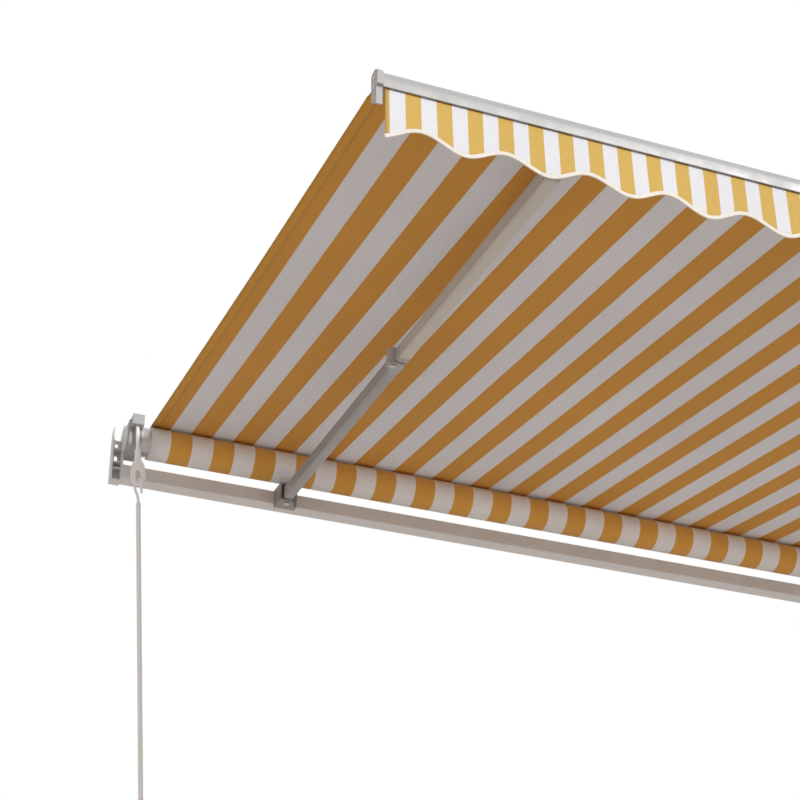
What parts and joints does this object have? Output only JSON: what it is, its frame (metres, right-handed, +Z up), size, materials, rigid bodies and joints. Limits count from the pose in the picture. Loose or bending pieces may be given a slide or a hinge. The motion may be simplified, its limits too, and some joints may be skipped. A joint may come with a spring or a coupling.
{
  "type": "retractable folding-arm awning",
  "caption": "Crank-operated folding-arm awning with a striped fabric canopy, scalloped valance, square torsion bar and hooked crank rod, shown extended.",
  "frame": {"origin": "wall face of the left wall bracket, level with the torsion bar axis and above the middle of its foot", "axes": "+X along the torsion bar to the right seen from the terrace, +Y into the wall, +Z up"},
  "size_m": [2.931, 1.841, 1.4444],
  "materials": {
    "torsion_bar": "semi-gloss off-white enamel",
    "casting": "satin powder coat on castings",
    "arm_profile": "satin off-white enamel",
    "front_profile": "satin off-white enamel",
    "cap_plastic": "matt off-white",
    "grip_plastic": "matt off-white",
    "steel": "plated",
    "galvanised": "galvanised, semi-bright",
    "gear": "greased",
    "crank_enamel": "semi-gloss off-white enamel",
    "canopy_fabric": "yellow and white woven stripes"
  },
  "bodies": {
    "wall_frame": {"torsion_bar": "torsion_bar", "left_bar_plug": "cap_plastic", "right_bar_plug": "cap_plastic", "left_wall_bracket": "casting", "right_wall_bracket": "casting", "left_bar_screw_outer": "steel", "left_bar_screw_inner": "steel", "right_bar_screw_outer": "steel", "right_bar_screw_inner": "steel", "gear_housing": "casting", "gear_cover": "casting", "left_shoulder_bracket": "casting", "right_shoulder_bracket": "casting", "left_shoulder_pin": "steel", "right_shoulder_pin": "steel", "canopy": "canopy_fabric"},
    "roller": {"roller_tube": "galvanised", "rolled_fabric": "canopy_fabric", "left_roller_plug": "casting", "right_roller_plug": "casting", "roller_gear": "gear"},
    "cross_gear_body": {"cross_gear": "gear"},
    "crank_drive": {"worm_shaft": "galvanised", "crank_eye": "crank_enamel"},
    "crank": {"crank_hook": "galvanised", "crank_rod": "crank_enamel", "crank_end_cap": "grip_plastic"},
    "upper_grip": {"crank_upper_grip": "grip_plastic"},
    "lower_grip": {"crank_lower_grip": "grip_plastic"},
    "front_bar_body": {"front_bar": "front_profile", "left_front_cap": "cap_plastic", "right_front_cap": "cap_plastic", "left_front_connector": "casting", "right_front_connector": "casting", "left_front_pin": "steel", "right_front_pin": "steel", "valance": "canopy_fabric", "valance_rod": "cap_plastic"},
    "left_rear_arm_body": {"left_shoulder_knuckle": "casting", "left_rear_arm": "arm_profile", "left_elbow_fork": "casting", "left_elbow_pin": "steel"},
    "left_forearm_body": {"left_elbow_knuckle": "casting", "left_forearm": "arm_profile", "left_arm_spring": "steel", "left_front_knuckle": "casting"},
    "right_rear_arm_body": {"right_shoulder_knuckle": "casting", "right_rear_arm": "arm_profile", "right_elbow_fork": "casting", "right_elbow_pin": "steel"},
    "right_forearm_body": {"right_elbow_knuckle": "casting", "right_forearm": "arm_profile", "right_arm_spring": "steel", "right_front_knuckle": "casting"}
  },
  "joints": [
    {"name": "left_shoulder", "type": "hinge", "parent": "wall_frame", "child": "left_rear_arm_body", "pos_m": [0.439, -0.092, -0.012], "axis": [0, -0.1464, 0.9892], "range_deg": [0, 88], "deforming": ["canopy"]},
    {"name": "left_elbow", "type": "hinge", "parent": "left_rear_arm_body", "child": "left_forearm_body", "pos_m": [0.42485, -0.94, -0.1375], "axis": [0, -0.1464, 0.9892], "range_deg": [-176, 0]},
    {"name": "left_front_pivot", "type": "hinge", "parent": "left_forearm_body", "child": "front_bar_body", "pos_m": [0.439, -1.788, -0.263], "axis": [0, -0.1464, 0.9892], "range_deg": [0, 88]},
    {"name": "right_shoulder", "type": "hinge", "parent": "wall_frame", "child": "right_rear_arm_body", "pos_m": [2.458, -0.092, -0.012], "axis": [0, -0.1464, 0.9892], "range_deg": [-88, 0]},
    {"name": "right_elbow", "type": "hinge", "parent": "right_rear_arm_body", "child": "right_forearm_body", "pos_m": [2.47215, -0.94, -0.1375], "axis": [0, -0.1464, 0.9892], "range_deg": [0, 176]},
    {"name": "roller_turn", "type": "hinge", "parent": "wall_frame", "child": "roller", "pos_m": [0.1, -0.057, 0.0884], "axis": [1, 0, 0], "range_deg": [-2160, 0]},
    {"name": "cross_gear_turn", "type": "hinge", "parent": "wall_frame", "child": "cross_gear_body", "pos_m": [0.025, -0.0914, 0.112], "axis": [1, 0, 0], "range_deg": [0, 5400]},
    {"name": "crank_turn", "type": "hinge", "parent": "wall_frame", "child": "crank_drive", "pos_m": [0.0277, -0.113, 0.098], "axis": [-0.071, 0, 0.9975], "continuous": true},
    {"name": "crank_swing", "type": "hinge", "parent": "crank_drive", "child": "crank", "pos_m": [0.03999, -0.113, -0.07466], "axis": [0.9373, 0.342, 0.0667], "range_deg": [-40, 4]},
    {"name": "upper_grip_spin", "type": "hinge", "parent": "crank", "child": "upper_grip", "pos_m": [0.10343, -0.113, -0.96631], "axis": [-0.071, 0, 0.9975], "continuous": true},
    {"name": "lower_grip_spin", "type": "hinge", "parent": "crank", "child": "lower_grip", "pos_m": [0.27087, -0.113, -1.20603], "axis": [-0.071, 0, 0.9975], "continuous": true}
  ],
  "couplings": [
    {"joint": "left_elbow", "follows": "left_shoulder", "ratio": -2},
    {"joint": "left_front_pivot", "follows": "left_shoulder", "ratio": 1},
    {"joint": "right_shoulder", "follows": "left_shoulder", "ratio": -1},
    {"joint": "right_elbow", "follows": "left_shoulder", "ratio": 2},
    {"joint": "roller_turn", "follows": "left_shoulder", "ratio": -24.545},
    {"joint": "cross_gear_turn", "follows": "left_shoulder", "ratio": 61.362}
  ]
}
